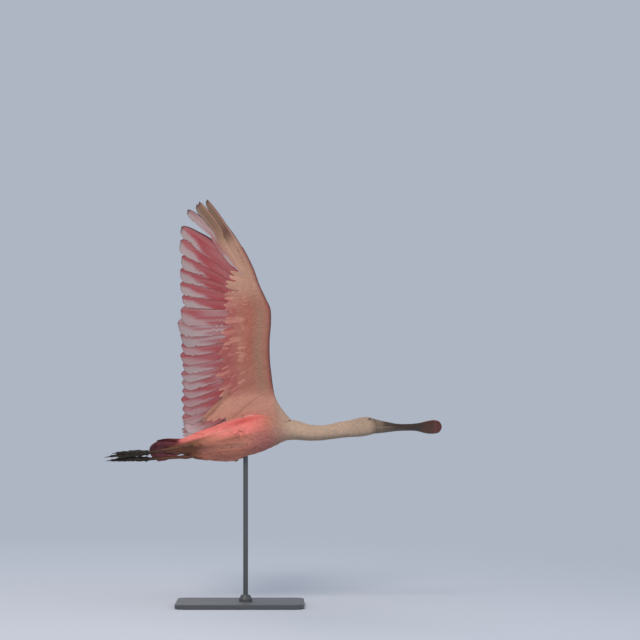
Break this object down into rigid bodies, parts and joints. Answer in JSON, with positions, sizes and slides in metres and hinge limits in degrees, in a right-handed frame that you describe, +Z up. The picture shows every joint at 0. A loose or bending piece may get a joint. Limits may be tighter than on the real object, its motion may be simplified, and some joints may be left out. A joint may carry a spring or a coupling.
{
  "type": "roseate spoonbill model",
  "caption": "Life-size still model of a roseate spoonbill banking in flight, wings raised and legs trailing, held on a rod over a flat base.",
  "frame": {"origin": "centre of the underside of the stand's base", "axes": "+X the way the bird flies, +Z up; the bird's belly faces -Y and its left wing reaches towards +Y"},
  "size_m": [0.8416, 0.695, 1.019],
  "materials": {
    "body_plumage": "soft overlapping body feathers, salmon pink, matte",
    "neck_plumage": "very short cream feathers, matte",
    "wing_coverts": "small overlapping covert feathers, salmon and beige, matte",
    "flight_feathers": "stiff rose-pink flight feathers, slightly silky",
    "tail_feathers": "stiff crimson tail feathers, slightly silky",
    "bill": "dry horn, faintly grooved and mottled",
    "eye": "wet glossy eye with a dark red-brown iris",
    "leg_skin": "bare scaly skin, brown with a pink cast",
    "foot_skin": "bare scaly skin, near-black olive",
    "stand_steel": "satin dark grey paint on steel"
  },
  "bodies": {
    "root": {"trunk": "body_plumage", "neck": "neck_plumage", "head": "neck_plumage", "bill_upper": "bill", "bill_lower": "bill", "tail": "tail_feathers", "eye_right": "eye", "eye_left": "eye", "wing_right_arm": "wing_coverts", "wing_right_primaries": "flight_feathers", "wing_right_secondaries": "flight_feathers", "wing_left_arm": "wing_coverts", "wing_left_primaries": "flight_feathers", "wing_left_secondaries": "flight_feathers", "thigh_right": "body_plumage", "thigh_left": "body_plumage", "leg_right": "leg_skin", "leg_left": "leg_skin", "foot_right": "foot_skin", "foot_left": "foot_skin", "stand_base": "stand_steel", "stand_collar": "stand_steel", "stand_rod": "stand_steel"}
  },
  "joints": []
}
